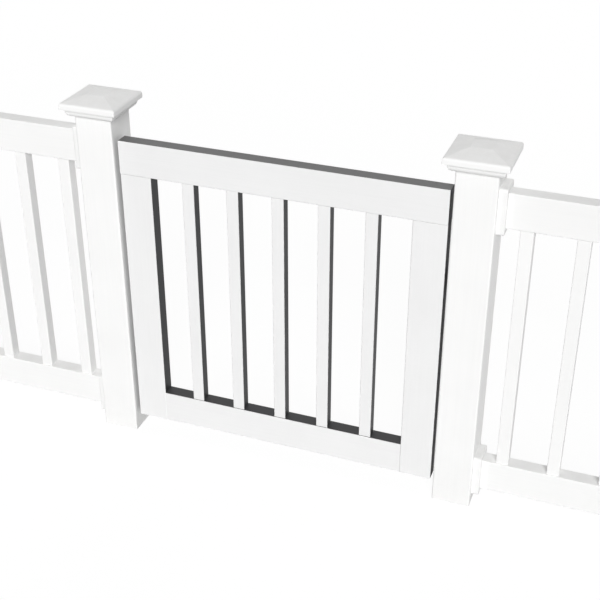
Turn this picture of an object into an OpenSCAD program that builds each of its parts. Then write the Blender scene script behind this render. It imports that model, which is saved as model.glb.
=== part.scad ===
// Deck railing gate: a framed gate leaf between two sleeved posts, with one
// whole railing bay on each side.
// The origin is the centre of the hinge post's base. +X runs along the railing
// from the hinge post to the latch post, +Y to the back, +Z up.

/* [Railing] */
// Width of a square post sleeve
post_w = 102; // [90:1:127]
// Height of a post from its base to the underside of its cap
post_h = 957; // [945:1:1200]
// Top of the fixed top rail above the post's base
rail_top = 906; // [880:2:910]
// Top of the fixed bottom rail above the post's base
bottom_rail_top = 136; // [120:2:180]
// Width of every rail, front to back
rail_d = 40; // [36:1:50]
// Height of every rail
rail_h = 91; // [84:1:95]
// Width of a square baluster
baluster_w = 32; // [25:1:34]
// Balusters in each fixed bay
bay_balusters = 13; // [4:1:13]
// Spacing of the balusters in a fixed bay
bay_pitch = 131.75; // [110:0.25:133]
// Post face to the centre of the first baluster of a fixed bay
bay_end = 70; // [60:1:90]

/* [Gate] */
// Clear opening between the two gate posts
opening_w = 884; // [800:2:1000]
// Gap between the gate leaf and each gate post
gate_gap = 10; // [9:1:14]
// Width of a stile across the front of the gate
stile_w = 86; // [70:1:95]
// Top of the gate above the post's base
gate_top = 900; // [880:2:910]
// Bottom of the gate above the post's base
gate_bottom = 54; // [40:2:80]
// Balusters in the gate
gate_balusters = 5; // [3:1:5]
// Spacing of the gate's balusters
gate_pitch = 122; // [118:1:124]

/* [Post cap] */
// Width of the cap's plate
cap_w = 156; // [150:1:170]
// Height of the plate's upright edge
cap_edge = 11; // [9:1:20]
// Height of the cove moulding under the plate
cap_moulding = 21; // [20:1:26]
// Rise of the hipped crown above the plate's edge
cap_rise = 20; // [14:1:40]
// Width of the flat on top of the crown
crown_flat = 52; // [30:1:70]
// Radius of the shoulder between the plate's edge and the crown
cap_shoulder = 7; // [3:1:8]

/* [Rail bracket] */
// Length of a bracket along its rail
bracket_l = 20; // [14:1:26]
// Width of a bracket, front to back
bracket_w = 72; // [64:1:84]
// Height of a bracket's rim above and below its rail
bracket_rim = 14; // [10:1:20]
// Radius of the corners of a bracket
bracket_round = 7; // [4:1:9]

/* [Hidden] */
$fn = 48;
wall_post = 6;                       // post sleeve wall
wall_rail = 3;                       // rail and stile wall
wall_baluster = 2;                   // baluster wall
wall_cap = 3;                        // moulded cap wall
wall_bracket = 3;                    // moulded bracket wall
cap_lip = 10;                        // step from the plate's edge to the moulding
cap_skirt = 4;                       // wall of the moulding outside the post
cap_pocket = 18;                     // depth of the end of the sleeve in its cap
ease = 3;                            // radius of a bracket's outer edges
seat = 30;                           // depth of a baluster's seat in its rail
r_post = 4;                          // outer corner radii
r_rail = 2.5;
r_baluster = 2;

bay_clear = 2 * bay_end + (bay_balusters - 1) * bay_pitch;
latch_post_x = opening_w + post_w;
far_left_x = -(bay_clear + post_w);
far_right_x = latch_post_x + bay_clear + post_w;

gate_x0 = post_w / 2 + gate_gap;
gate_x1 = latch_post_x - post_w / 2 - gate_gap;
gate_mid = (gate_x0 + gate_x1) / 2;
gate_y = -rail_d / 2;                // centre plane of the gate, in front of the posts' centres

hinge_r = 5;                         // knuckle radius
hinge_x = post_w / 2 + hinge_r + 1;  // hinge pin, behind the gap
hinge_y = 7;
hinge_h = 90;
hinge_leaf_t = 3;
hinge_pin_r = 3;
hinge_knuckle = 29;                  // height of one of the three knuckles
hinge_z = [190, 700];                // bottoms of the two hinges

latch_y = 13;                        // centre line of the bolt
latch_z = 640;                       // height of the bolt
bolt_r = 6;
bolt_hole_r = 7;                     // hole in the strike plate and the latch post

white = [0.95, 0.95, 0.95];
grey_metal = [0.35, 0.36, 0.38];
timber = [0.70, 0.58, 0.40];

// Rectangle with true round corners, centred on the origin
module rounded_rect(w, d, r) {
    square([w - 2 * r, d], center = true);
    square([w, d - 2 * r], center = true);
    for (x = [-1, 1], y = [-1, 1])
        translate([x * (w / 2 - r), y * (d / 2 - r)]) circle(r);
}

// ---- Posts ----

// The end of a sleeve stands in the pocket of its cap
module post_sleeve(x) {
    color(white) translate([x, 0, 0]) linear_extrude(post_h + cap_pocket) difference() {
        rounded_rect(post_w, post_w, r_post);
        square(post_w - 2 * wall_post, center = true);
    }
}

// The timber core that the sleeve slides over; it carries the post
module post_core(x) {
    color(timber) translate([x, 0, post_h / 2])
        cube([post_w - 2 * wall_post, post_w - 2 * wall_post, post_h], center = true);
}

// Hole for the bolt, from the opening into the latch post
module bolt_hole(depth) {
    translate([latch_post_x - post_w / 2 - 5, latch_y, latch_z])
        rotate([0, 90, 0]) cylinder(h = depth + 5, r = bolt_hole_r);
}

// ---- Post caps ----

shoulder_x = cap_w / 2 - cap_shoulder;
hip_slope = atan((cap_rise - cap_shoulder) / (shoulder_x - crown_flat / 2));

// Silhouette of the crown: a round shoulder on each side, a low hip and a flat
module crown_silhouette() {
    hip_x = shoulder_x + cap_shoulder * sin(hip_slope);
    hip_z = cap_shoulder * cos(hip_slope);
    for (side = [-1, 1]) translate([side * shoulder_x, 0]) circle(cap_shoulder);
    polygon([[-shoulder_x, 0], [shoulder_x, 0], [hip_x, hip_z],
        [crown_flat / 2, cap_rise], [-crown_flat / 2, cap_rise], [-hip_x, hip_z]]);
}

// Silhouette of the cap: a cove moulding, the plate's edge and the crown
module cap_silhouette() {
    moulding_w = cap_w - 2 * cap_lip;
    cove_r = (moulding_w - post_w) / 2 - cap_skirt;
    difference() {
        translate([-moulding_w / 2, 0]) square([moulding_w, cap_moulding]);
        for (x = [-1, 1]) translate([x * moulding_w / 2, 0]) circle(cove_r);
    }
    translate([-cap_w / 2, cap_moulding]) square([cap_w, cap_edge]);
    translate([0, cap_moulding + cap_edge]) crown_silhouette();
}

// Silhouette of the room under the crown, one wall inside the cap
module cavity_silhouette() {
    half = post_w / 2 - wall_post;
    top = cap_moulding + cap_edge + cap_rise - wall_cap;
    side = top - (half - crown_flat / 2) * tan(hip_slope);
    polygon([[-half, 0], [half, 0], [half, side], [crown_flat / 2, top],
        [-crown_flat / 2, top], [-half, side]]);
}

// The same silhouette from the front and from the side makes a square form
// whose faces meet in mitres
module square_form(w) {
    intersection() {
        translate([0, w / 2, 0]) rotate([90, 0, 0]) linear_extrude(w) children();
        translate([-w / 2, 0, 0]) rotate([90, 0, 90]) linear_extrude(w) children();
    }
}

module post_cap(x) {
    color(white) translate([x, 0, post_h]) difference() {
        square_form(cap_w) cap_silhouette();
        square_form(post_w - 2 * wall_post) cavity_silhouette();
        translate([0, 0, -1]) linear_extrude(cap_pocket + 1) rounded_rect(post_w, post_w, r_post);
    }
}

// ---- Rails, balusters and brackets of the fixed bays ----

// Hollow rail from x0 to x1 with its top at z; the balusters are routed into
// its top wall (routed = 1) or its bottom wall (routed = -1)
module rail(x0, x1, y, z, routed, holes, closed = false) {
    inner_d = rail_d - 2 * wall_rail;
    inner_h = rail_h - 2 * wall_rail;
    web_z = routed > 0 ? z - seat - wall_rail : z - rail_h + seat;
    wall_z = routed > 0 ? z - wall_rail - 1 : z - rail_h - 1;
    end_inset = closed ? wall_rail : -1;
    color(white) difference() {
        translate([x0, y, z - rail_h / 2]) rotate([90, 0, 90])
            linear_extrude(x1 - x0) rounded_rect(rail_d, rail_h, r_rail);
        translate([x0 + end_inset, y - inner_d / 2, z - rail_h + wall_rail])
            cube([x1 - x0 - 2 * end_inset, inner_d, inner_h]);
        for (x = holes)
            translate([x - baluster_w / 2, y - baluster_w / 2, wall_z])
                cube([baluster_w, baluster_w, wall_rail + 2]);
    }
    color(white) translate([x0, y - inner_d / 2, web_z]) cube([x1 - x0, inner_d, wall_rail]);
}

// Square tube from the web of the bottom rail to the web of the top rail
module baluster(x, y, z0, z1) {
    color(white) translate([x, y, z0]) linear_extrude(z1 - z0) difference() {
        rounded_rect(baluster_w, baluster_w, r_baluster);
        square(baluster_w - 2 * wall_baluster, center = true);
    }
}

function bay_baluster_x(x0) = [for (i = [0 : bay_balusters - 1]) x0 + bay_end + i * bay_pitch];

module bay_balusters_row(x0) {
    for (x = bay_baluster_x(x0))
        baluster(x, 0, bottom_rail_top - seat, rail_top - rail_h + seat);
}

// Flat outline that starts at x = 0 and ends in eased corners at x = l
module eased_end(l, w) {
    translate([0, -w / 2]) square([l - ease, w]);
    translate([0, ease - w / 2]) square([l, w - 2 * ease]);
    for (side = [-1, 1]) translate([l - ease, side * (w / 2 - ease)]) circle(ease);
}

// Outside of a bracket: the meeting of its section, its plan and its side view
module bracket_form(w, h) {
    intersection() {
        rotate([90, 0, 90]) linear_extrude(bracket_l) rounded_rect(w, h, bracket_round);
        translate([0, 0, -h / 2]) linear_extrude(h) eased_end(bracket_l, w);
        translate([0, w / 2, 0]) rotate([90, 0, 0]) linear_extrude(w) eased_end(bracket_l, h);
    }
}

// Moulded collar round the end of a rail, open at the post; side = 1 reaches
// along +X from the post's face, side = -1 along -X
module bracket(face_x, z, side) {
    h = rail_h + 2 * bracket_rim;
    inner_w = bracket_w - 2 * wall_bracket;
    inner_h = h - 2 * wall_bracket;
    color(white) translate([face_x, 0, z - rail_h / 2]) mirror([side > 0 ? 0 : 1, 0, 0]) difference() {
        bracket_form(bracket_w, h);
        translate([-1, -inner_w / 2, -inner_h / 2]) cube([bracket_l - wall_bracket + 1, inner_w, inner_h]);
        translate([0, -rail_d / 2, -rail_h / 2]) cube([bracket_l + 1, rail_d, rail_h]);
    }
}

module bracket_pair(x0, x1, z) {
    bracket(x0, z, 1);
    bracket(x1, z, -1);
}

left_x0 = far_left_x + post_w / 2;
left_x1 = -post_w / 2;
right_x0 = latch_post_x + post_w / 2;
right_x1 = far_right_x - post_w / 2;

// ---- Gate leaf ----

function gate_baluster_x(i) = gate_mid + (i - (gate_balusters - 1) / 2) * gate_pitch;
gate_baluster_places = [for (i = [0 : gate_balusters - 1]) gate_baluster_x(i)];

module stile(x0) {
    color(white) translate([x0 + stile_w / 2, gate_y, gate_bottom])
        linear_extrude(gate_top - rail_h - gate_bottom) difference() {
            rounded_rect(stile_w, rail_d, r_rail);
            square([stile_w - 2 * wall_rail, rail_d - 2 * wall_rail], center = true);
        }
}

module stile_plug(x0) {
    plug_h = 16;
    color(white) translate([x0 + stile_w / 2, gate_y, gate_bottom + plug_h / 2])
        cube([stile_w - 2 * wall_rail, rail_d - 2 * wall_rail, plug_h], center = true);
}

module gate_baluster(i) {
    if (i < gate_balusters)
        baluster(gate_baluster_x(i), gate_y,
            gate_bottom + rail_h - seat, gate_top - rail_h + seat);
}

// ---- Hinges: a fixed leaf with two knuckles, a moving leaf with one, and a pin ----

module knuckle(z, h) {
    translate([hinge_x, hinge_y, z]) cylinder(h = h, r = hinge_r);
}

module pin_hole(z) {
    translate([hinge_x, hinge_y, z - 10]) cylinder(h = hinge_h + 20, r = hinge_pin_r + 0.05);
}

module hinge_post_leaf(z) {
    color(grey_metal) difference() {
        union() {
            translate([post_w / 2, hinge_y, z]) cube([hinge_leaf_t, 40, hinge_h]);
            knuckle(z, hinge_knuckle);
            knuckle(z + hinge_h - hinge_knuckle, hinge_knuckle);
        }
        pin_hole(z);
        translate([hinge_x - hinge_r - 1, hinge_y - hinge_r - 1, z + hinge_knuckle])
            cube([2 * hinge_r + 2, 2 * hinge_r + 6, hinge_h - 2 * hinge_knuckle]);
    }
}

module hinge_gate_leaf(z) {
    low = z + hinge_knuckle + 1;
    high = hinge_h - 2 * hinge_knuckle - 2;
    color(grey_metal) difference() {
        union() {
            translate([hinge_x + 8, 0, z]) cube([42, hinge_leaf_t, hinge_h]);
            translate([hinge_x, 0, low]) cube([10, hinge_leaf_t, high]);
            knuckle(low, high);
            translate([hinge_x, 0, low]) cube([hinge_r, hinge_y, high]);
        }
        pin_hole(z);
    }
}

module hinge_pin(z) {
    color(grey_metal) translate([hinge_x, hinge_y, z - 2]) {
        cylinder(h = hinge_h + 2, r = hinge_pin_r);
        translate([0, 0, hinge_h + 2]) cylinder(h = 3, r = hinge_r);
    }
}

// ---- Latch: a sliding bolt on the back of the gate, drawn back ----

latch_x = gate_x1 - stile_w / 2;
module latch_body() {
    color(grey_metal) difference() {
        union() {
            translate([latch_x - 38, 0, latch_z - 20]) cube([76, 3, 40]);
            for (x = [latch_x - 34, latch_x + 20])
                translate([x, 0, latch_z - 11]) cube([14, latch_y + 9, 22]);
        }
        translate([latch_x - 60, latch_y, latch_z]) rotate([0, 90, 0]) cylinder(h = 120, r = bolt_r + 0.05);
    }
}

module latch_bolt() {
    color(grey_metal) {
        translate([latch_x - 50, latch_y, latch_z]) rotate([0, 90, 0]) cylinder(h = 88, r = bolt_r);
        translate([latch_x, latch_y, latch_z]) rotate([-90, 0, 0]) cylinder(h = 24, r = 4);
    }
}

module strike_plate() {
    color(grey_metal) difference() {
        translate([latch_post_x - post_w / 2 - 3, -2, latch_z - 28]) cube([3, 30, 56]);
        bolt_hole(1);
    }
}

post_sleeve(0);  // hinge_post
difference() {  // latch_post
        post_sleeve(latch_post_x);
        bolt_hole(wall_post + 1);
    }
post_sleeve(far_left_x);  // far_left_post
post_sleeve(far_right_x);  // far_right_post
post_core(0);  // hinge_post_core
difference() {  // latch_post_core
        post_core(latch_post_x);
        bolt_hole(wall_post + 30);
    }
post_core(far_left_x);  // far_left_post_core
post_core(far_right_x);  // far_right_post_core
post_cap(0);  // hinge_post_cap
post_cap(latch_post_x);  // latch_post_cap
post_cap(far_left_x);  // far_left_post_cap
post_cap(far_right_x);  // far_right_post_cap
rail(left_x0, left_x1, 0, rail_top, -1, bay_baluster_x(left_x0));  // left_top_rail
rail(left_x0, left_x1, 0, bottom_rail_top, 1, bay_baluster_x(left_x0));  // left_bottom_rail
bay_balusters_row(left_x0);  // left_balusters
bracket_pair(left_x0, left_x1, rail_top);  // left_top_brackets
bracket_pair(left_x0, left_x1, bottom_rail_top);  // left_bottom_brackets
rail(right_x0, right_x1, 0, rail_top, -1, bay_baluster_x(right_x0));  // right_top_rail
rail(right_x0, right_x1, 0, bottom_rail_top, 1, bay_baluster_x(right_x0));  // right_bottom_rail
bay_balusters_row(right_x0);  // right_balusters
bracket_pair(right_x0, right_x1, rail_top);  // right_top_brackets
bracket_pair(right_x0, right_x1, bottom_rail_top);  // right_bottom_brackets
rail(gate_x0, gate_x1, gate_y, gate_top, -1, gate_baluster_places, closed = true);  // gate_top_rail
rail(gate_x0 + stile_w, gate_x1 - stile_w, gate_y, gate_bottom + rail_h, 1, gate_baluster_places);  // gate_bottom_rail
stile(gate_x0);  // hinge_stile
stile(gate_x1 - stile_w);  // latch_stile
gate_baluster(0);  // gate_baluster_1
gate_baluster(1);  // gate_baluster_2
gate_baluster(2);  // gate_baluster_3
gate_baluster(3);  // gate_baluster_4
gate_baluster(4);  // gate_baluster_5
union() {  // stile_plugs
    stile_plug(gate_x0);
    stile_plug(gate_x1 - stile_w);
}
hinge_post_leaf(hinge_z[1]);  // upper_hinge_post_leaf
hinge_gate_leaf(hinge_z[1]);  // upper_hinge_gate_leaf
hinge_pin(hinge_z[1]);  // upper_hinge_pin
hinge_post_leaf(hinge_z[0]);  // lower_hinge_post_leaf
hinge_gate_leaf(hinge_z[0]);  // lower_hinge_gate_leaf
hinge_pin(hinge_z[0]);  // lower_hinge_pin
latch_body();
latch_bolt();
strike_plate();
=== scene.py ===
# Deck railing gate: a white vinyl gate leaf with dark grey edges, hung between two
# sleeved posts, with one whole railing bay on each side. Metres; +X runs along the
# railing from the hinge post to the latch post, +Y to the back, +Z up.
import math

import bmesh
import bpy
import numpy as np
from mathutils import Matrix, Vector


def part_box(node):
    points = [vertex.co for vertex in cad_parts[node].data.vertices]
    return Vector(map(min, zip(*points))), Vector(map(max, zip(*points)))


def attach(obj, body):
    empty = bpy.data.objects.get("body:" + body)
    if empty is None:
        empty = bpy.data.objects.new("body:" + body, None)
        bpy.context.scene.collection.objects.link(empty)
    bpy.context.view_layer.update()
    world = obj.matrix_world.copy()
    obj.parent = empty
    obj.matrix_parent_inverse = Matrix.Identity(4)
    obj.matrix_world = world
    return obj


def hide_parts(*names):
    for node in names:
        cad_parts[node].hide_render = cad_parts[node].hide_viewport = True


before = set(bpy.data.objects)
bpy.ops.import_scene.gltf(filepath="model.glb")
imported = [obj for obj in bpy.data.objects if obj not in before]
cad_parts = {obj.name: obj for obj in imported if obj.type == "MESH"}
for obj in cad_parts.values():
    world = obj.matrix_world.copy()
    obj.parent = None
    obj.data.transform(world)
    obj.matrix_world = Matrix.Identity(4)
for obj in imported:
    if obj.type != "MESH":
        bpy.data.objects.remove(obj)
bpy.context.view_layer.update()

# ---- Camera ----
# It stands two metres up and 2.4 metres in front of the railing, half a metre past the
# latch post, and looks 30 degrees down and 20 degrees to the left through a long lens.
LENS_MM, SENSOR_MM = 69.3, 36.0
EYE = (1.4433, -2.4437, 2.0208)
TILT, TURN = 59.867, 20.299

camera = bpy.data.cameras.new("viewer")
camera.lens, camera.sensor_width = LENS_MM, SENSOR_MM
viewer = bpy.data.objects.new("viewer", camera)
viewer.location = EYE
viewer.rotation_euler = (math.radians(TILT), 0, math.radians(TURN))
bpy.context.collection.objects.link(viewer)
bpy.context.scene.camera = viewer
bpy.context.scene.view_settings.view_transform = "Standard"

# ---- Studio floor ----
# A wide pale floor at the posts' feet. Seen directly it is nearly all its own white
# glow, so that it keeps only a faint shadow, and it is clear from below.


def fill(tree, node, sockets):
    """Gives each of a node's inputs, by name or place, a value or the output that feeds it."""
    for place, value in sockets.items():
        if isinstance(value, bpy.types.NodeSocket):
            tree.links.new(value, node.inputs[place])
        else:
            node.inputs[place].default_value = value


def join(tree, kind, sockets, **settings):
    """A new shader node of that kind, with its own options set and its inputs filled."""
    made = tree.nodes.new(kind)
    for option, value in settings.items():
        setattr(made, option, value)
    fill(tree, made, sockets)
    return made


def math_of(tree, operation, *terms):
    """The output of one Math node."""
    return join(tree, "ShaderNodeMath", dict(enumerate(terms)), operation=operation).outputs[0]


def seen_directly(tree):
    """1 for a ray from the camera, a mirror or glass, and 0 for one that only brings light."""
    ray = tree.nodes.new("ShaderNodeLightPath").outputs
    mirrored = math_of(tree, "MAXIMUM", ray["Is Glossy Ray"], ray["Is Transmission Ray"])
    return math_of(tree, "MAXIMUM", ray["Is Camera Ray"], mirrored)


WHITE = (1, 1, 1, 1)
FLOOR_GREY = (0.60, 0.60, 0.60, 1)
FLOOR_GLOW, GLOW_SHARE = 1.09, 0.86
FLOOR_HALF = 60.0

studio = bpy.data.materials.new("studio_floor")
studio.use_nodes = True
tree = studio.node_tree
tree.nodes.clear()
share = math_of(tree, "MULTIPLY", seen_directly(tree), GLOW_SHARE)
matt = join(tree, "ShaderNodeBsdfDiffuse", {"Color": FLOOR_GREY})
glow = join(tree, "ShaderNodeEmission", {"Color": WHITE, "Strength": FLOOR_GLOW})
lit = join(tree, "ShaderNodeMixShader", {0: share, 1: matt.outputs[0], 2: glow.outputs[0]})
below = tree.nodes.new("ShaderNodeNewGeometry").outputs["Backfacing"]
clear = tree.nodes.new("ShaderNodeBsdfTransparent")
both = join(tree, "ShaderNodeMixShader", {0: below, 1: lit.outputs[0], 2: clear.outputs[0]})
join(tree, "ShaderNodeOutputMaterial", {"Surface": both.outputs[0]})

floor_mesh = bpy.data.meshes.new("studio_floor")
corners = FLOOR_HALF * np.array([[-1, -1, 0], [1, -1, 0], [1, 1, 0], [-1, 1, 0]])
floor_mesh.from_pydata(corners.tolist(), [], [(0, 1, 2, 3)])
floor_mesh.materials.append(studio)
floor = bpy.data.objects.new("studio_floor", floor_mesh)
bpy.context.collection.objects.link(floor)

# ---- Sky and lamps ----
# Even sky light all round, a big soft lamp in front and to the right, and a weaker
# one low behind. The sky is white to the eye and in reflections.
SKY = 0.22

world = bpy.data.worlds.new("even_sky")
world.use_nodes = True
tree = world.node_tree
tree.nodes.clear()
level = join(tree, "ShaderNodeMix", {0: seen_directly(tree), 2: SKY, 3: 1.0}).outputs[0]
sky = join(tree, "ShaderNodeBackground", {"Color": WHITE, "Strength": level})
join(tree, "ShaderNodeOutputWorld", {"Surface": sky.outputs[0]})
bpy.context.scene.world = world


def soft_sun(name, toward, strength, spread, glossy=True):
    """A distant lamp in that direction. Its spread in degrees softens the shadows; glossy
    says whether it shows in reflections."""
    data = bpy.data.lights.new(name, "SUN")
    data.energy, data.angle = strength, math.radians(spread)
    lamp = bpy.data.objects.new(name, data)
    lamp.rotation_euler = Vector(toward).to_track_quat("Z", "Y").to_euler()
    lamp.visible_glossy = glossy
    bpy.context.collection.objects.link(lamp)


soft_sun("front_lamp", toward=(0.29, -0.72, 0.40), strength=2.74, spread=26)
soft_sun("back_lamp", toward=(-0.36, 0.90, 0.25), strength=1.48, spread=45, glossy=False)

# ---- Post sleeves ----
# Four hollow vinyl sleeves, 102 mm square, extruded with rounded corners. Each slides
# over a timber core; fine die lines run up the faces and a little dust settles on it.


def new_group(name, inputs, outputs):
    """An empty shader group with (name, kind, default) inputs and (name, kind) outputs.
    Returns the group, its input sockets and the node that collects its outputs."""
    made = bpy.data.node_groups.new(name, "ShaderNodeTree")
    for label, kind, default in inputs:
        socket = made.interface.new_socket(label, in_out="INPUT", socket_type="NodeSocket" + kind)
        socket.default_value = default
    for label, kind in outputs:
        made.interface.new_socket(label, in_out="OUTPUT", socket_type="NodeSocket" + kind)
    given = made.nodes.new("NodeGroupInput").outputs
    return made, given, made.nodes.new("NodeGroupOutput")


def placed(tree, group, sockets):
    """The outputs of a group placed in a material."""
    return join(tree, "ShaderNodeGroup", sockets, node_tree=group).outputs


def new_material(name):
    """A material. Returns it, its tree, its Principled shader and the coordinate outputs."""
    made = bpy.data.materials.new(name)
    made.use_nodes = True
    tree = made.node_tree
    own = tree.nodes.new("ShaderNodeTexCoord").outputs
    return made, tree, tree.nodes["Principled BSDF"], own


def noise(tree, where, scale, detail=2.0, rough=0.5):
    """The value of a noise pattern, with that many cells to a metre. Nearly all of it lies
    between NOISE_LOW and NOISE_HIGH."""
    sockets = {"Vector": where, "Scale": scale, "Detail": detail, "Roughness": rough}
    return join(tree, "ShaderNodeTexNoise", sockets).outputs["Fac"]


def blend_colour(tree, share, first, second):
    """The first colour where share is 0, the second where it is 1."""
    sockets = {0: share, 6: first, 7: second}
    return join(tree, "ShaderNodeMix", sockets, data_type="RGBA").outputs[2]


def ramp(tree, value, low, high, to_low=0.0, to_high=1.0):
    """Carries value from the range low to high onto to_low to to_high, and stops at both."""
    sockets = {0: value, 1: low, 2: high, 3: to_low, 4: to_high}
    return join(tree, "ShaderNodeMapRange", sockets, clamp=True).outputs[0]


NOISE_LOW, NOISE_HIGH = 0.3, 0.7

# Extruded or moulded vinyl: cloudy pigment, die lines along the piece, orange peel.
# Along is the position with the piece's length squeezed, so that lines follow it.
CLOUD_SCALE, LINE_SCALE, PEEL_SCALE = 5.0, 260.0, 420.0
CLOUD_SHADE, LINE_SHADE = 0.97, 0.985
ROUGHNESS_SWING = 0.14
PEEL_HEIGHT = 0.35

vinyl_skin, given, result = new_group(
    "vinyl_skin",
    [("Position", "Vector", (0, 0, 0)), ("Along", "Vector", (0, 0, 0)),
     ("Colour", "Color", WHITE), ("Roughness", "Float", 0.4), ("Lines", "Float", 0.5)],
    [("Colour", "Color"), ("Roughness", "Float"), ("Height", "Float")],
)
cloud = noise(vinyl_skin, given["Position"], CLOUD_SCALE, detail=3.0)
die_lines = noise(vinyl_skin, given["Along"], LINE_SCALE)
orange_peel = noise(vinyl_skin, given["Position"], PEEL_SCALE)
shade = ramp(vinyl_skin, cloud, NOISE_LOW, NOISE_HIGH, to_low=CLOUD_SHADE)
streak = ramp(vinyl_skin, die_lines, low=0.35, high=0.7, to_low=1.0, to_high=LINE_SHADE)
tint = math_of(vinyl_skin, "MULTIPLY", shade, streak)
tinted = join(vinyl_skin, "ShaderNodeVectorMath", {0: given["Colour"], "Scale": tint},
              operation="SCALE")
rougher = math_of(vinyl_skin, "MULTIPLY_ADD", cloud, ROUGHNESS_SWING, given["Roughness"])
lined = math_of(vinyl_skin, "MULTIPLY", die_lines, given["Lines"])
fill(vinyl_skin, result, {
    "Colour": tinted.outputs[0],
    "Roughness": math_of(vinyl_skin, "SUBTRACT", rougher, ROUGHNESS_SWING / 2),
    "Height": math_of(vinyl_skin, "MULTIPLY_ADD", orange_peel, PEEL_HEIGHT, lined),
})

# Dust in patches: it settles on what faces up, and is splashed near the ground.
DUST = (0.46, 0.44, 0.40, 1)
PATCH_SCALE, THINNEST = 38.0, 0.4
DUST_CLINGS, DUST_LIES = 0.3, 0.9
SPLASH_HEIGHT = 0.16

weather, given, result = new_group(
    "weather",
    [("Position", "Vector", (0, 0, 0)), ("Facing", "Vector", (0, 0, 1)),
     ("Colour", "Color", WHITE), ("Dust", "Color", WHITE), ("Settled", "Float", 0.3),
     ("Splashed", "Float", 0.2)],
    [("Colour", "Color"), ("Mask", "Float")],
)
up = join(weather, "ShaderNodeSeparateXYZ", {0: given["Facing"]}).outputs["Z"]
above = join(weather, "ShaderNodeSeparateXYZ", {0: given["Position"]}).outputs["Z"]
cells = noise(weather, given["Position"], PATCH_SCALE, detail=5.0, rough=0.6)
patches = ramp(weather, cells, low=0.35, high=0.75, to_low=THINNEST)
level_share = ramp(weather, up, DUST_CLINGS, DUST_LIES)
settled = math_of(weather, "MULTIPLY", level_share, given["Settled"])
splashed = math_of(weather, "MULTIPLY", ramp(weather, above, SPLASH_HEIGHT, 0.0), given["Splashed"])
mask = math_of(weather, "MULTIPLY", math_of(weather, "ADD", settled, splashed), patches)
fill(weather, result, {
    "Colour": blend_colour(weather, mask, given["Colour"], given["Dust"]),
    "Mask": mask,
})

SKIN_BUMP, SKIN_DEPTH = 0.12, 0.0006
DUST_DULLS = 0.3
VINYL_SPECULAR = 0.22


def vinyl(name, colour, roughness, along, lines, settled, splashed, specular=VINYL_SPECULAR):
    """A vinyl material. colour is a colour, or a function that works one out from the tree and
    the piece's coordinates. along squeezes the position so that die lines follow the piece."""
    made, tree, skin, own = new_material(name)
    if callable(colour):
        colour = colour(tree, own)
    stretched = join(tree, "ShaderNodeMapping", {"Vector": own["Object"], "Scale": along})
    clean = placed(tree, vinyl_skin, {
        "Position": own["Object"], "Along": stretched.outputs[0],
        "Colour": colour, "Roughness": roughness, "Lines": lines})
    aged = placed(tree, weather, {
        "Position": own["Object"], "Facing": own["Normal"], "Colour": clean["Colour"],
        "Dust": DUST, "Settled": settled, "Splashed": splashed})
    bump = join(tree, "ShaderNodeBump", {
        "Height": clean["Height"], "Strength": SKIN_BUMP, "Distance": SKIN_DEPTH})
    fill(tree, skin, {
        "Base Color": aged["Colour"],
        "Roughness": math_of(tree, "MULTIPLY_ADD", aged["Mask"], DUST_DULLS, clean["Roughness"]),
        "Normal": bump.outputs[0],
        "Specular IOR Level": specular,
    })
    return made


def paint(material, *names):
    """Puts a material on CAD nodes in place of their plain one."""
    for name in names:
        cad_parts[name].data.materials[0] = material


PURE_WHITE = (0.93, 0.93, 0.925, 1)
UPRIGHT, LEVEL, EVEN = (1, 1, 0.02), (0.02, 1, 1), (1, 1, 1)
EXTRUDED = {"roughness": 0.46, "lines": 0.6}

posts = ["hinge_post", "latch_post", "far_left_post", "far_right_post"]
post_vinyl = vinyl("post_vinyl", PURE_WHITE, along=UPRIGHT, settled=0.10, splashed=0.10, **EXTRUDED)
paint(post_vinyl, *posts)

# ---- Timber cores ----
# Square lengths of treated pine inside the sleeves, which carry the load. Only their
# end grain shows, from below.
RING_SCALE, FIBRE_SCALE = 22.0, 500.0
EARLY_WOOD = (0.55, 0.42, 0.22, 1)
LATE_WOOD = (0.40, 0.27, 0.13, 1)
FIBRE_SHADE = (0.30, 0.22, 0.12, 1)
WOOD_ROUGHNESS = 0.8

timber, tree, skin, own = new_material("treated_pine")
year_rings = join(tree, "ShaderNodeTexWave", {
    "Vector": own["Object"], "Scale": RING_SCALE, "Distortion": 5.0, "Detail": 3.0,
    "Detail Scale": 1.4}, wave_type="RINGS", rings_direction="Z")
drawn = join(tree, "ShaderNodeMapping", {"Vector": own["Object"], "Scale": UPRIGHT})
fibres = noise(tree, drawn.outputs[0], FIBRE_SCALE)
ringed = blend_colour(tree, year_rings.outputs["Fac"], LATE_WOOD, EARLY_WOOD)
fibrous = ramp(tree, fibres, low=0.45, high=0.75, to_high=0.5)
grain = join(tree, "ShaderNodeBump", {"Height": fibres, "Strength": 0.3, "Distance": 0.001})
fill(tree, skin, {
    "Base Color": blend_colour(tree, fibrous, ringed, FIBRE_SHADE),
    "Normal": grain.outputs[0],
    "Roughness": WOOD_ROUGHNESS,
})
paint(timber, *[post + "_core" for post in posts])

# ---- Fixed rails and balusters ----
# Hollow vinyl rails, extruded and cut to length, run from post to post. Square balusters
# are pushed into holes routed in the rails.
RAIL_WHITE = (0.915, 0.915, 0.91, 1)

rail_vinyl = vinyl("rail_vinyl", RAIL_WHITE, along=LEVEL, settled=0.10, splashed=0.0, **EXTRUDED)
paint(rail_vinyl, "left_top_rail", "left_bottom_rail", "right_top_rail", "right_bottom_rail")
baluster_vinyl = vinyl("baluster_vinyl", RAIL_WHITE, along=UPRIGHT, settled=0.0, splashed=0.05,
                       **EXTRUDED)
paint(baluster_vinyl, "left_balusters", "right_balusters")

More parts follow.
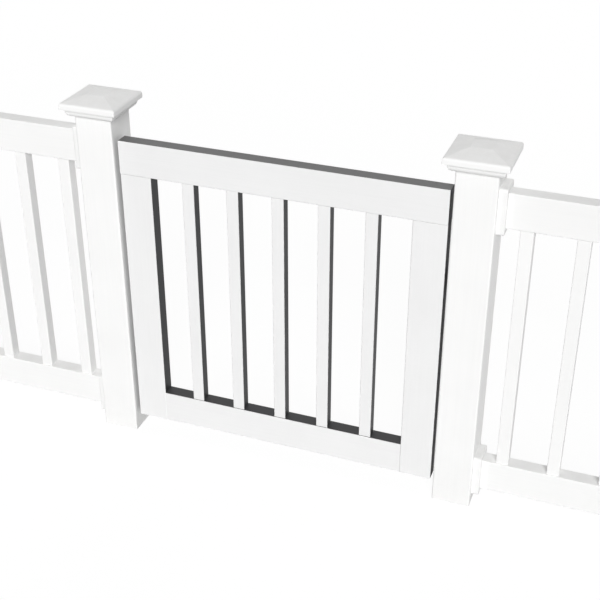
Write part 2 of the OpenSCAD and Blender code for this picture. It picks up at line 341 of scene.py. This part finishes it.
# ---- Rail brackets ----
# Moulded vinyl collars, hollow and open at the post, that slip over the rails' ends and
# hold them. Their corners are round and their outer rim is eased.
SMOOTH_BELOW = math.radians(32)
MERGE_WITHIN, VANISH_BELOW = 1e-6, 1e-7
ALONG_RAIL = [2, 0, 1]


def rings(rows, steps=6, hold=0.0015):
    """Rounded rectangles stacked on an axis. A row is (place, half width, half depth, corner
    radius), and its ring is four quarter circles of that radius about points that lie the
    radius inside the rectangle's corners, with one point more before and after each to hold
    the sides flat. Returns rows by columns by (width, depth, place)."""
    place, half_w, half_d, corner = np.asarray(rows, float).T[:, :, None]
    turn = np.linspace(0, np.pi / 2, steps)
    spare = np.clip(np.minimum(half_w, half_d) - corner, 0, hold)
    u = np.hstack([half_w, half_w - corner * (1 - np.cos(turn)), half_w - corner - spare])
    v = np.hstack([half_d - corner - spare, half_d - corner * (1 - np.sin(turn)), half_d])
    width = np.hstack([u, -u[:, ::-1], -u, u[:, ::-1]])
    depth = np.hstack([v, v[:, ::-1], -v, -v[:, ::-1]])
    return np.dstack([width, depth, np.broadcast_to(place, width.shape)])


def held(rows, reach=0.0012):
    """Adds a row just after each row, and one just before the next, each a reach away,
    wherever the two stand more than four reaches apart, so that a long face stays flat
    beside its rounded edges."""
    rows = np.asarray(rows, float)
    step = np.diff(rows, axis=0)
    length = np.linalg.norm(step[:, :3], axis=1)
    share = (reach / np.maximum(length, VANISH_BELOW))[:, None]
    filled = np.stack([rows[:-1], rows[:-1] + step * share, rows[1:] - step * share], axis=1)
    long_enough = length > 4 * reach
    wanted = np.column_stack([np.full(len(step), True), long_enough, long_enough])
    return np.vstack([filled[wanted], rows[-1:]])


def set_out(grid, axes, centre, sense=1):
    """Puts a shape's width, depth and place on x, y and z in the order that axes gives, with
    the place counted along (1) or against (-1) its axis, about a centre."""
    return (grid * (1, 1, sense))[..., axes] + np.array(centre)


def skin_of(grid, along=False):
    """Quads between the points of a grid whose columns close into a ring; along closes the
    rows too. Returns the points and the quads."""
    rows, columns = grid.shape[:2]
    index = np.arange(rows * columns).reshape(rows, columns)
    index = np.hstack([index, index[:, :1]])
    if along:
        index = np.vstack([index, index[:1]])
    quads = np.stack([index[:-1, :-1], index[:-1, 1:], index[1:, 1:], index[1:, :-1]], -1)
    return grid.reshape(-1, 3), quads.reshape(-1, 4)


def piece(name, shells, material, body, slot, *replaced):
    """One object from (points, quads) shells. Doubled points at poles and seams are merged,
    faces turned outwards, and soft edges shaded smooth."""
    starts = np.cumsum([0] + [len(points) for points, _ in shells])
    points = np.vstack([points for points, _ in shells])
    quads = np.vstack([quads + start for (_, quads), start in zip(shells, starts)])
    made = bpy.data.meshes.new(name)
    made.from_pydata(points.tolist(), [], quads.tolist())
    shape = bmesh.new()
    shape.from_mesh(made)
    bmesh.ops.remove_doubles(shape, verts=shape.verts, dist=MERGE_WITHIN)
    bmesh.ops.dissolve_degenerate(shape, dist=VANISH_BELOW, edges=shape.edges)
    bmesh.ops.recalc_face_normals(shape, faces=shape.faces)
    for edge in shape.edges:
        edge.smooth = edge.calc_face_angle(0) < SMOOTH_BELOW
    for face in shape.faces:
        face.smooth = True
    shape.to_mesh(made)
    shape.free()
    made.materials.append(material)
    thing = bpy.data.objects.new(name, made)
    bpy.context.collection.objects.link(thing)
    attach(thing, body)
    if replaced:
        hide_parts(*replaced)


def quarter(radius, steps=5):
    """How far a quarter-round edge has risen, and how far it has drawn in, step by step: the
    sine of the angle and one less its cosine, times the radius."""
    turn = np.linspace(0, np.pi / 2, steps)
    return radius * np.sin(turn), radius * (1 - np.cos(turn))


MOULDED_WHITE = (0.885, 0.885, 0.88, 1)
MOULDED = {"along": EVEN, "lines": 0.1, "settled": 0.12, "splashed": 0.0}
BRACKET_LENGTH, BRACKET_WALL = 0.020, 0.003
BRACKET_CORNER, BRACKET_EASE = 0.007, 0.003
RAIL_CORNER, MOUTH_EASE = 0.0025, 0.0006

rail_low, rail_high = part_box("left_top_rail")
mouth = (rail_high.y - rail_low.y) / 2, (rail_high.z - rail_low.z) / 2, RAIL_CORNER
bracket_vinyl = vinyl("bracket_vinyl", MOULDED_WHITE, roughness=0.44, **MOULDED)
for row in ("left_top", "left_bottom", "right_top", "right_bottom"):
    low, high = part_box(row + "_brackets")
    half_w, half_h = (high.y - low.y) / 2, (high.z - low.z) / 2
    rise, inset = quarter(BRACKET_EASE)
    inner = half_w - BRACKET_WALL, half_h - BRACKET_WALL, BRACKET_CORNER - BRACKET_WALL
    collar = held(np.vstack([
        [(0, half_w, half_h, BRACKET_CORNER)],
        np.column_stack([BRACKET_LENGTH - BRACKET_EASE + rise, half_w - inset,
                         half_h - inset, BRACKET_CORNER - inset]),
        [(BRACKET_LENGTH, *np.add(mouth, MOUTH_EASE)),
         (BRACKET_LENGTH - MOUTH_EASE, *mouth),
         (BRACKET_LENGTH - BRACKET_WALL, *mouth),
         (BRACKET_LENGTH - BRACKET_WALL, *inner),
         (0, *inner)],
    ]))
    middle = (low.z + high.z) / 2
    ends = [skin_of(set_out(rings(collar), ALONG_RAIL, (face, 0, middle), sense), along=True)
            for face, sense in ((low.x, 1), (high.x, -1))]
    piece("moulded_" + row + "_brackets", ends, bracket_vinyl, "railing", "white_vinyl",
          row + "_brackets")

# ---- Post caps ----
# Moulded vinyl caps glued on the sleeves, which stand in a pocket inside them: a square
# band with a large round under it, then a wide plate with a round shoulder, and a low
# hipped crown with a flat on top.
CAP_WALL = 0.003
MOULDING, PLATE_EDGE = 0.021, 0.011
LIP, BAND_ROUND = 0.010, 0.015
SHOULDER, LOWER_EASE = 0.007, 0.001
CROWN_FLAT = 0.026
SLEEVE_WALL = 0.006
INNER_CORNER, SLEEVE_CORNER, OUTER_CORNER = 0.001, 0.004, 0.002


def arc(across, up, radius, start, end, steps):
    """Points (across, up) on a circle about that centre, from one angle to another in degrees."""
    turn = np.radians(np.linspace(start, end, steps))
    return np.column_stack([across + radius * np.cos(turn), up + radius * np.sin(turn)])


low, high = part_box("hinge_post_cap")
sleeve_low, sleeve_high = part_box("hinge_post")
sleeve_half = (sleeve_high.x - sleeve_low.x) / 2
sleeve_inner, pocket_top = sleeve_half - SLEEVE_WALL, sleeve_high.z - low.z
plate_half, crown = (high.x - low.x) / 2, high.z - low.z
band_half, shoulder_at = plate_half - LIP, plate_half - SHOULDER
edge_top = MOULDING + PLATE_EDGE
slope = (crown - edge_top - SHOULDER) / (shoulder_at - CROWN_FLAT)
shoulder_turn = 90 - math.degrees(math.atan(slope))
ceiling = crown - CAP_WALL
inside = [(0, ceiling), (CROWN_FLAT, ceiling),
          (sleeve_inner, ceiling - slope * (sleeve_inner - CROWN_FLAT)),
          (sleeve_inner, pocket_top)]
pocket = [(sleeve_half, pocket_top), (sleeve_half, 0)]
outside = np.vstack([
    arc(band_half - BAND_ROUND, BAND_ROUND, BAND_ROUND, -90, 0, steps=8),
    [(band_half, MOULDING)],
    arc(plate_half - LOWER_EASE, MOULDING + LOWER_EASE, LOWER_EASE, -90, 0, steps=4),
    arc(shoulder_at, edge_top, SHOULDER, 0, shoulder_turn, steps=8),
    [(CROWN_FLAT, crown), (0, crown)],
])
profile = np.vstack([inside, pocket, outside])
corner = np.repeat([INNER_CORNER, SLEEVE_CORNER, OUTER_CORNER],
                   [len(inside), len(pocket), len(outside)])
half = profile[:, 0]
cap_rows = held(np.column_stack([profile[:, 1], half, half, np.minimum(corner, half)]))
cap_vinyl = vinyl("cap_vinyl", PURE_WHITE, roughness=0.42, **MOULDED)
for post in posts:
    low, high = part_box(post + "_cap")
    centre = (low.x + high.x) / 2, (low.y + high.y) / 2, low.z
    piece("moulded_" + post + "_cap", [skin_of(rings(cap_rows) + centre)], cap_vinyl,
          "railing", "cap_vinyl", post + "_cap")

# ---- Gate leaf ----
# Stiles, rails and balusters of a flat matt vinyl, white on the front and back. Their
# narrow edges, seen between the faces, are painted dark grey as painted shade, and paler where they
# face the sky as painted sky light.
EDGE_STARTS, EDGE_FULL = 0.22, 0.12
FLAT_STARTS, FLAT_FULL = 0.65, 0.75

# Painted shade on the gate's edges: a face that looks sideways, up or down gets the colour given for
# it, and a face that looks to the front or back keeps its white.
painted_edge_shade, given, result = new_group(
    "painted_edge_shade",
    [("Facing", "Vector", (0, 1, 0)), ("Face", "Color", WHITE), ("Side", "Color", WHITE),
     ("Top", "Color", WHITE), ("Under", "Color", WHITE)],
    [("Colour", "Color")],
)
axes = join(painted_edge_shade, "ShaderNodeSeparateXYZ", {0: given["Facing"]}).outputs
edge_share = ramp(painted_edge_shade, math_of(painted_edge_shade, "ABSOLUTE", axes["Y"]), EDGE_STARTS, EDGE_FULL)
top_share = ramp(painted_edge_shade, axes["Z"], FLAT_STARTS, FLAT_FULL)
under_share = ramp(painted_edge_shade, axes["Z"], -FLAT_STARTS, -FLAT_FULL)
topped = blend_colour(painted_edge_shade, top_share, given["Side"], given["Top"])
edged = blend_colour(painted_edge_shade, under_share, topped, given["Under"])
fill(painted_edge_shade, result, {"Colour": blend_colour(painted_edge_shade, edge_share, given["Face"], edged)})

# The dark edge colours below are painted shade, the paler top one is painted sky light, and the
# bottom rail's top gets a darker painted shade. The darkest is also the stile plugs' own plastic
# colour.
GATE_WHITE = (0.855, 0.855, 0.855, 1)
CHARCOAL_AND_EDGE_SHADE = (0.035, 0.036, 0.038, 1)
PAINTED_SKYLIT_EDGE = (0.155, 0.155, 0.155, 1)
SHADED = (0.055, 0.055, 0.057, 1)


def gate_vinyl(name, along, side, top, under):
    """Vinyl with painted shade on its edges: colours of their own for those that face sideways, up
    and down.
    """
    def toned(tree, own):
        return placed(tree, painted_edge_shade, {
            "Facing": own["Normal"], "Face": GATE_WHITE,
            "Side": side, "Top": top, "Under": under})["Colour"]
    return vinyl(name, toned, roughness=0.50, along=along, lines=0.6, settled=0.0,
                 splashed=0.0, specular=0.2)


gate_uprights = ["hinge_stile", "latch_stile"] + ["gate_baluster_%d" % n for n in range(1, 6)]
# Each gate piece's edges get painted shade: the top rail's top is paler as painted sky light, and
# the bottom rail's top is a darker painted shade.
paint(gate_vinyl("gate_top_vinyl", LEVEL, CHARCOAL_AND_EDGE_SHADE, PAINTED_SKYLIT_EDGE, GATE_WHITE), "gate_top_rail")
paint(gate_vinyl("gate_rail_vinyl", LEVEL, GATE_WHITE, SHADED, CHARCOAL_AND_EDGE_SHADE), "gate_bottom_rail")
paint(gate_vinyl("gate_upright_vinyl", UPRIGHT, CHARCOAL_AND_EDGE_SHADE, GATE_WHITE, CHARCOAL_AND_EDGE_SHADE), *gate_uprights)

# ---- Stile plugs ----
# Moulded plastic plugs pushed into the open lower ends of the stiles, flush with them.
# They show only from below.
plug_plastic = vinyl("plug_plastic", CHARCOAL_AND_EDGE_SHADE, roughness=0.55, along=EVEN, lines=0.0,
                     settled=0.0, splashed=0.6)
paint(plug_plastic, "stile_plugs")

# ---- Hinges ----
# Two steel butt hinges in black powder coat, behind the gap. Each leaf is a 3 mm plate
# rolled round a loose pin, and three pan-head screws hold it.
PEBBLE_SCALE, STAIN_SCALE, WEAR_SCALE = 900.0, 60.0, 130.0
DEEP_BLACK, GREYED_BLACK = (0.028, 0.028, 0.031, 1), (0.050, 0.050, 0.053, 1)
RUBBED_STEEL = (0.36, 0.35, 0.34, 1)
WEAR_STARTS, WEAR_FULL, MOST_WORN = 0.72, 0.78, 0.85
GLOSSIEST, DULLEST = 0.38, 0.52
COAT_THICKNESS = 0.6
COAT_BUMP, COAT_DEPTH = 0.22, 0.0004


def powder_coat(name, worn, along=EVEN):
    """Black powder coat. A fine pebble gives its bump, and where a noise drawn out along the
    piece rises over its threshold the coat is rubbed through to dull steel."""
    made, tree, skin, own = new_material(name)
    drawn = join(tree, "ShaderNodeMapping", {"Vector": own["Object"], "Scale": along})
    pebble = noise(tree, own["Object"], PEBBLE_SCALE)
    stain = noise(tree, own["Object"], STAIN_SCALE, detail=4.0)
    wear = noise(tree, drawn.outputs[0], WEAR_SCALE, detail=6.0, rough=0.65)
    rubbed = ramp(tree, wear, WEAR_STARTS - worn, WEAR_FULL - worn, to_high=MOST_WORN)
    stained = ramp(tree, stain, NOISE_LOW, NOISE_HIGH)
    coat = blend_colour(tree, stained, DEEP_BLACK, GREYED_BLACK)
    raised = math_of(tree, "MULTIPLY_ADD", rubbed, -COAT_THICKNESS, pebble)
    bump = join(tree, "ShaderNodeBump", {
        "Height": raised, "Strength": COAT_BUMP, "Distance": COAT_DEPTH})
    fill(tree, skin, {
        "Base Color": blend_colour(tree, rubbed, coat, RUBBED_STEEL),
        "Metallic": rubbed,
        "Roughness": ramp(tree, stain, NOISE_LOW, NOISE_HIGH, GLOSSIEST, DULLEST),
        "Normal": bump.outputs[0],
    })
    return made


PLATE_EASE, PLATE_REACH = 0.0006, 0.0005


def plate_side(half_w, half_d, thick, corner):
    """Rows up the side of a flat plate and over the quarter-round edge of its front."""
    rise, inset = quarter(PLATE_EASE, 4)
    eased = np.column_stack([thick - PLATE_EASE + rise, half_w - inset, half_d - inset,
                             corner - inset])
    return np.vstack([[(0, half_w, half_d, corner)], eased])


def plate(half_w, half_d, thick, corner):
    """Rows of a flat plate: out from the middle of its back, up its side, over its eased edge
    and in to the middle of its front."""
    side = plate_side(half_w, half_d, thick, corner)
    return held(np.vstack([[(0, 0, 0, 0)], side, [(thick, 0, 0, 0)]]), PLATE_REACH)


def rolled(outline, low, high, heart, trim=0.0004, trimmed=0.94):
    """An outline of (width, depth) points carried from low to high, both rims trimmed and both
    ends closed on the point heart: a row is heart plus a share of the outline's distance to it."""
    share = np.array([0, trimmed, 1, 1, trimmed, 0])[:, None, None]
    place = np.array([low, low, low + trim, high - trim, high, high])[:, None]
    flat = heart + share * (outline - heart)
    return np.dstack([flat, np.broadcast_to(place, flat.shape[:2])])


def turned(rows):
    """Rows (place, radius) of a round bar, as rows for rings."""
    place, radius = np.asarray(rows, float).T
    return np.column_stack([place, radius, radius, radius])


HEAD_RADIUS, HEAD_RISE, HEAD_SIDES = 0.0038, 0.0018, 40
HEAD_SHARES = (1, 1, 0.98, 0.92, 0.84, 0.74, 0.64, 0.60, 0.54, 0.4, 0.25, 0.12, 0)
RECESS_HALF, RECESS_REACH, RECESS_WALL = 0.18, 0.62, 0.06
RECESS_DEPTH = 0.5


def screw_heads(spots, axes, sense=1):
    """Pan heads with a cross recess, one at each spot on a plate. Over a disc, the height is
    the rise times the root of one less the fourth power of the share of the radius; the
    recess takes off half the rise near both middle lines, out to six tenths of the radius.
    The sine of four times the angle gathers each circle's points towards those lines, and
    the rim goes a quarter of the rise into the plate."""
    share = np.array(HEAD_SHARES)[:, None]
    even = np.linspace(0, 2 * np.pi, HEAD_SIDES, endpoint=False)
    turn = even - RECESS_HALF * np.sin(4 * even)
    x, y = share * np.cos(turn), share * np.sin(turn)
    dome = np.sqrt(1 - share ** 4)
    arm = np.clip((RECESS_HALF - np.minimum(abs(x), abs(y))) / RECESS_WALL, 0, 1)
    cut = RECESS_DEPTH * arm * np.clip((RECESS_REACH - share) / RECESS_WALL, 0, 1)
    rise = HEAD_RISE * (dome - cut)
    rise[0] = -HEAD_RISE / 4
    head = np.dstack([HEAD_RADIUS * x, HEAD_RADIUS * y, rise])
    return [skin_of(set_out(head, axes, spot, sense)) for spot in spots]


OUT_BACK = [0, 2, 1]
LEAF_THICK, LEAF_CORNER = 0.003, 0.005
KNUCKLE_GAP = 0.001
POST_NECK, GATE_NECK, NECK_LAP = 0.006, 0.008, 0.003
POST_HEART, GATE_HEART = (-0.001, 0.001), (0.0015, -0.004)
SCREW_HEIGHTS, SCREW_OUTWARD = (0.015, 0.045, 0.075), 0.003
PIN_RADIUS, PIN_EASE = 0.003, 0.0008
PIN_HEAD, HEAD_EASE = 0.003, 0.0004
PIN_DOME = ((0.0014, 1), (0.0005, 0.78), (0.0001, 0.4), (0, 0))  # (down, share of radius)

hinge_coat = powder_coat("hinge_coat", worn=0.03)
for hinge in ("upper_hinge", "lower_hinge"):
    pin_low, pin_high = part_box(hinge + "_pin")
    axis = np.array([(pin_low.x + pin_high.x) / 2, (pin_low.y + pin_high.y) / 2])
    barrel = (pin_high.x - pin_low.x) / 2

    # The post's leaf lies on the post's side, with a knuckle rolled at each end.
    low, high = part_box(hinge + "_post_leaf")
    face = low.x + LEAF_THICK
    meets = 360 + math.degrees(math.acos((face - axis[0]) / barrel))
    half_w, half_h = (high.y - axis[1]) / 2, (high.z - low.z) / 2
    middle = (low.x, axis[1] + half_w, (low.z + high.z) / 2)
    outline = np.vstack([
        arc(*axis, barrel, 180, meets, steps=34),
        [(face, axis[1] + POST_NECK), (low.x, axis[1] + POST_NECK), (low.x, axis[1])]])
    third = (high.z - low.z) / 3 - KNUCKLE_GAP
    knuckles = [rolled(outline, start, start + third, axis + POST_HEART)
                for start in (low.z, high.z - third)]
    flat = set_out(rings(plate(half_w, half_h, LEAF_THICK, LEAF_CORNER)), ALONG_RAIL, middle)
    piece("rolled_" + hinge + "_post_leaf", [skin_of(grid) for grid in [flat, *knuckles]],
          hinge_coat, "railing", "hardware", hinge + "_post_leaf")
    spots = [(face, middle[1] + SCREW_OUTWARD, low.z + height) for height in SCREW_HEIGHTS]
    piece(hinge + "_post_screws", screw_heads(spots, ALONG_RAIL), hinge_coat, "railing",
          "hardware")

    # The gate's leaf lies on the stile's back, with one knuckle between the other two.
    gate_low, gate_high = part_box(hinge + "_gate_leaf")
    start = axis[0] + GATE_NECK
    half_w, half_h = (gate_high.x - start) / 2, (gate_high.z - gate_low.z) / 2
    middle = (start + half_w, gate_low.y, (gate_low.z + gate_high.z) / 2)
    outline = np.vstack([
        arc(*axis, barrel, 0, 270, steps=30),
        [(axis[0], 0), (start + NECK_LAP, 0), (start + NECK_LAP, LEAF_THICK),
         (axis[0] + barrel, LEAF_THICK)]])
    knuckle = rolled(outline, low.z + third + KNUCKLE_GAP, high.z - third - KNUCKLE_GAP,
                     axis + GATE_HEART)
    flat = set_out(rings(plate(half_w, half_h, LEAF_THICK, LEAF_CORNER)), OUT_BACK, middle)
    piece("rolled_" + hinge + "_gate_leaf", [skin_of(flat), skin_of(knuckle)],
          hinge_coat, "gate_leaf", "hardware", hinge + "_gate_leaf")
    spots = [(middle[0] + SCREW_OUTWARD, LEAF_THICK, low.z + height) for height in SCREW_HEIGHTS]
    piece(hinge + "_gate_screws", screw_heads(spots, OUT_BACK), hinge_coat, "gate_leaf",
          "hardware")

    # The pin hangs in the knuckles by its domed head.
    head_low = pin_high.z - PIN_HEAD
    pin = [(pin_low.z, 0), (pin_low.z, PIN_RADIUS - PIN_EASE), (pin_low.z + PIN_EASE, PIN_RADIUS),
           (head_low, PIN_RADIUS), (head_low, barrel - HEAD_EASE), (head_low + HEAD_EASE, barrel)]
    pin += [(pin_high.z - down, barrel * share) for down, share in PIN_DOME]
    piece("turned_" + hinge + "_pin", [skin_of(rings(turned(pin)) + (*axis, 0))],
          hinge_coat, "railing", "hardware", hinge + "_pin")

# ---- Latch ----
# A sliding bolt on the back of the latch stile: a cast plate with two guides in black
# powder coat, a round bolt drawn back in them, and a ball knob to slide it.
LATCH_CORNER = 0.004
GUIDE_STARTS, GUIDE_LENGTH, GUIDE_TRIM = (-0.034, 0.020), 0.014, 0.0008
GUIDE_FOOT = np.array([(0.002, 0.011), (0.0045, 0.011), (0.0075, 0.0097)])  # (out, aside)
GUIDE_HEART = (0.009, 0.0)
LATCH_SCREW_X, LATCH_SCREW_Z = 0.027, 0.0155
BOLT_EASE, BOLT_NOSE = 0.001, 0.002
KNOB_NECK, KNOB_FROM = 0.0028, -62

latch_coat = powder_coat("latch_coat", worn=0.04)
bolt_coat = powder_coat("bolt_coat", worn=0.14, along=LEVEL)

low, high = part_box("latch_body")
bolt_low, bolt_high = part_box("latch_bolt")
middle = ((low.x + high.x) / 2, 0, (low.z + high.z) / 2)
bolt_radius = (bolt_high.z - bolt_low.z) / 2
bolt_y = bolt_low.y + bolt_radius
guide = np.vstack([
    GUIDE_FOOT * (1, -1),
    arc(bolt_y, 0, high.y - bolt_y, -90, 90, steps=22),
    GUIDE_FOOT[::-1]])
base = rings(plate((high.x - low.x) / 2, (high.z - low.z) / 2, LEAF_THICK, LATCH_CORNER))
guides = [rolled(guide, start, start + GUIDE_LENGTH, GUIDE_HEART, GUIDE_TRIM)
          for start in GUIDE_STARTS]
shells = [set_out(base, OUT_BACK, middle)] + [set_out(grid, ALONG_RAIL, middle) for grid in guides]
piece("cast_latch_body", [skin_of(grid) for grid in shells], latch_coat, "gate_leaf",
      "hardware", "latch_body")
spots = [(middle[0] + x, LEAF_THICK, middle[2] + z) for x in (-LATCH_SCREW_X, LATCH_SCREW_X)
         for z in (-LATCH_SCREW_Z, LATCH_SCREW_Z)]
piece("latch_screws", screw_heads(spots, OUT_BACK), latch_coat, "gate_leaf", "hardware")

nose_rise, nose_inset = quarter(BOLT_NOSE)
bolt = np.vstack([
    [(bolt_low.x, 0), (bolt_low.x, bolt_radius - BOLT_EASE), (bolt_low.x + BOLT_EASE, bolt_radius)],
    np.column_stack([bolt_high.x - BOLT_NOSE + nose_rise, bolt_radius - nose_inset]),
    [(bolt_high.x, 0)]])
ball = arc(0, bolt_high.y - bolt_radius, bolt_radius, KNOB_FROM, 90, steps=12)[:, ::-1]
knob = np.vstack([[(bolt_y, 0), (bolt_y, KNOB_NECK)], ball])
shells = [set_out(rings(turned(bolt)), ALONG_RAIL, (0, bolt_y, middle[2])),
          set_out(rings(turned(knob)), OUT_BACK, middle)]
piece("turned_latch_bolt", [skin_of(grid) for grid in shells], bolt_coat, "gate_leaf",
      "hardware", "latch_bolt")

# ---- Strike plate ----
# A small steel plate on the latch post, screwed over the hole that takes the bolt. The
# hole's rim is eased.
HOLE_RADIUS, HOLE_EASE = 0.007, 0.0005
STRIKE_CORNER = 0.004
STRIKE_SCREW_Z = 0.0205

low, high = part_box("strike_plate")
thick, half_w, half_h = high.x - low.x, (high.y - low.y) / 2, (high.z - low.z) / 2
hole = turned([(0, HOLE_RADIUS), (thick, HOLE_RADIUS + HOLE_EASE), (thick - HOLE_EASE, HOLE_RADIUS)])
side = plate_side(half_w, half_h, thick, STRIKE_CORNER)
strike = held(np.vstack([hole[:1], side, hole[1:]]), PLATE_REACH)
centre = (high.x, (low.y + high.y) / 2, (low.z + high.z) / 2)
piece("pressed_strike_plate",
      [skin_of(set_out(rings(strike), ALONG_RAIL, centre, -1), along=True)],
      latch_coat, "railing", "hardware", "strike_plate")
spots = [(low.x, centre[1], centre[2] + z) for z in (-STRIKE_SCREW_Z, STRIKE_SCREW_Z)]
piece("strike_screws", screw_heads(spots, ALONG_RAIL, -1), latch_coat, "railing", "hardware")
